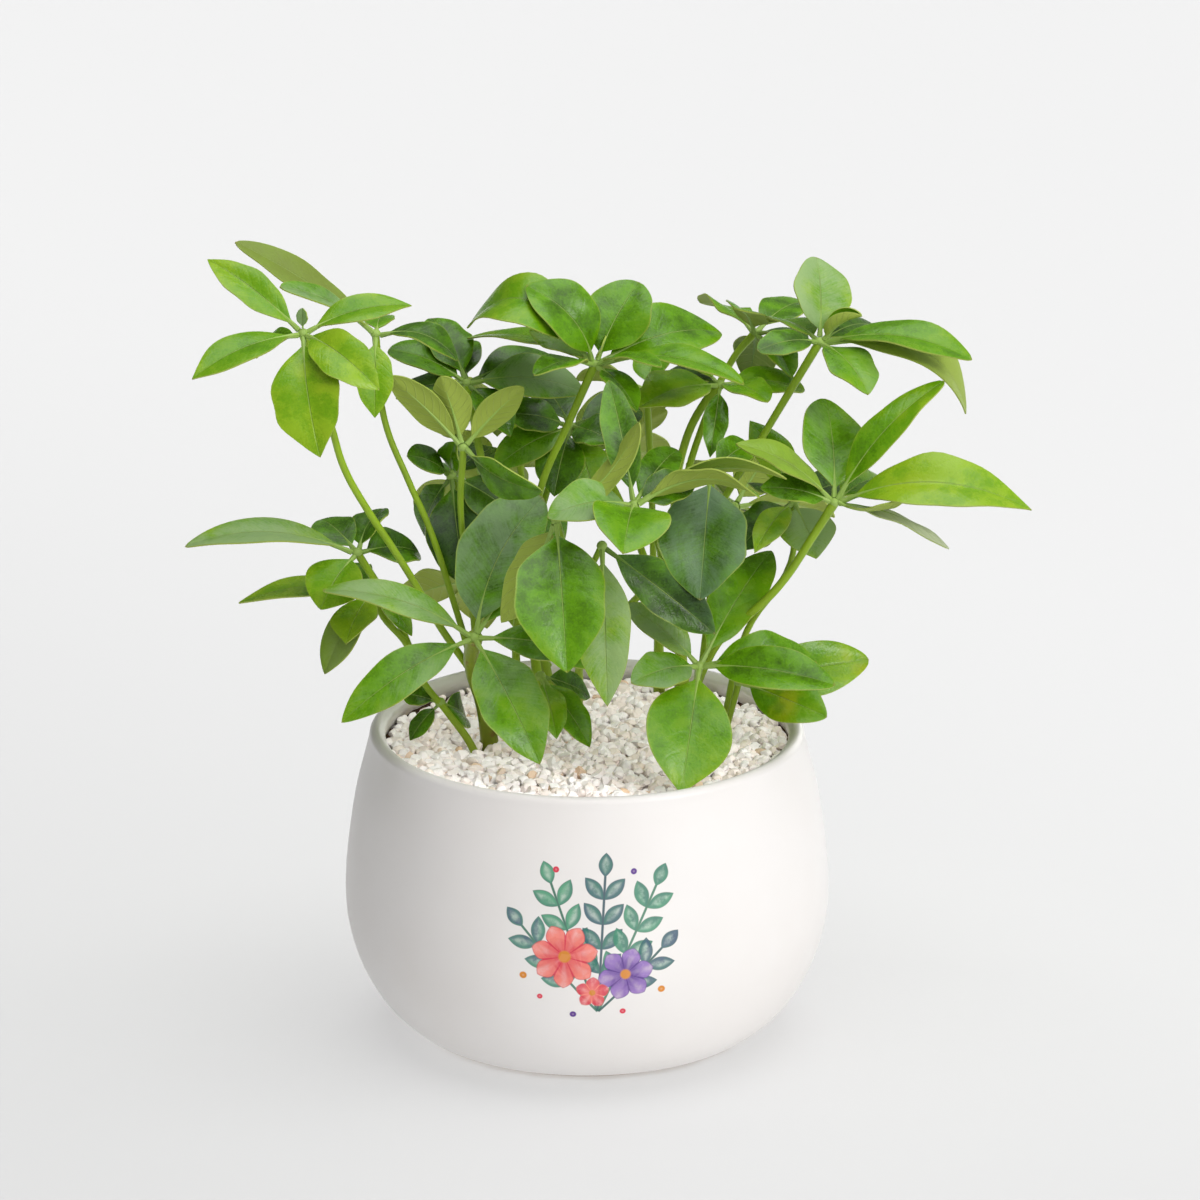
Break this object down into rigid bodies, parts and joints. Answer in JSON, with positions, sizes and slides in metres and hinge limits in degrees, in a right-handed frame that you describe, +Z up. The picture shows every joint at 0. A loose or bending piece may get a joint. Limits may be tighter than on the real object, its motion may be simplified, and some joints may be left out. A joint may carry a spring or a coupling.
{
  "type": "potted umbrella plant",
  "caption": "Dwarf umbrella plant with leafy stems and umbrella-shaped whorls of leaflets, standing in a round-bellied ceramic pot topped with pale gravel.",
  "frame": {"origin": "middle of the pot's flat underside", "axes": "+Z up along the pot's axis, -Y towards the front of the plant, +X to its right as seen from the front"},
  "size_m": [0.3083, 0.1996, 0.2987],
  "materials": {
    "pot": null,
    "soil": "damp crumbly potting soil",
    "gravel": "matte angular chips, white, grey and beige",
    "foliage": "glossy leathery leaflets, paler and matte underneath, on smooth yellow-green stalks"
  },
  "bodies": {
    "root": {"pot": "pot", "soil": "soil", "gravel": "gravel", "stem_left": "foliage", "stalk_far_left": "foliage", "stem_mid_left": "foliage", "stem_centre": "foliage", "stem_front": "foliage", "stem_back_right": "foliage", "stem_right": "foliage", "stalk_right_low": "foliage", "stalk_right_back": "foliage", "stem_back_left": "foliage", "stem_back_middle": "foliage"}
  },
  "joints": []
}
